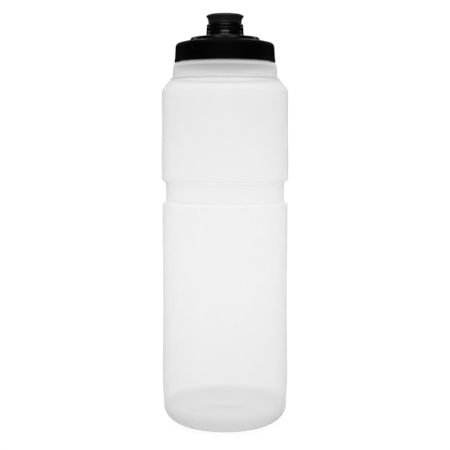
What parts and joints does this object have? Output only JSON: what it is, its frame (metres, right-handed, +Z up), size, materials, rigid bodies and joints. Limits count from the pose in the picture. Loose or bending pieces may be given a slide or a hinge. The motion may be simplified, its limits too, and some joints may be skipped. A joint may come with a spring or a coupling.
{
  "type": "water bottle",
  "caption": "Translucent squeeze water bottle for a bicycle cage, with a black screw cap and a push-pull spout.",
  "frame": {"origin": "centre of the bottle's base, in the plane of its resting ring", "axes": "+Z up along the bottle's axis, towards the spout; X and Y are alike, because the bottle is round"},
  "size_m": [0.0748, 0.0748, 0.2409],
  "materials": {
    "frosted_plastic": "frosted translucent blow-moulded polyethylene",
    "cap_black": "fine satin moulded polypropylene",
    "valve_black": "semi-gloss moulded polypropylene",
    "mouthpiece_grey": "soft-touch moulded elastomer",
    "seal_rubber": "matt moulded rubber"
  },
  "bodies": {
    "bottle": {"bottle_body": "frosted_plastic"},
    "gasket": {"cap_gasket": "seal_rubber"},
    "cap": {"screw_cap": "cap_black", "valve_base": "valve_black", "valve_base_seal": "seal_rubber"},
    "spout": {"spout_slider": "valve_black", "spout_o_ring": "seal_rubber", "mouthpiece": "mouthpiece_grey"}
  },
  "joints": [
    {"name": "cap_lift", "type": "slide", "parent": "bottle", "child": "gasket", "axis": [0, 0, 1], "range_m": [0, 0.01351]},
    {"name": "cap_turn", "type": "hinge", "parent": "gasket", "child": "cap", "pos_m": [0, 0, 0.2133], "axis": [0, 0, 1], "range_deg": [0, 1080]},
    {"name": "spout_pull", "type": "slide", "parent": "cap", "child": "spout", "axis": [0, 0, 1], "range_m": [0, 0.006]}
  ],
  "couplings": [
    {"joint": "cap_lift", "follows": "cap_turn", "m_per_rad": 0.0007162}
  ]
}
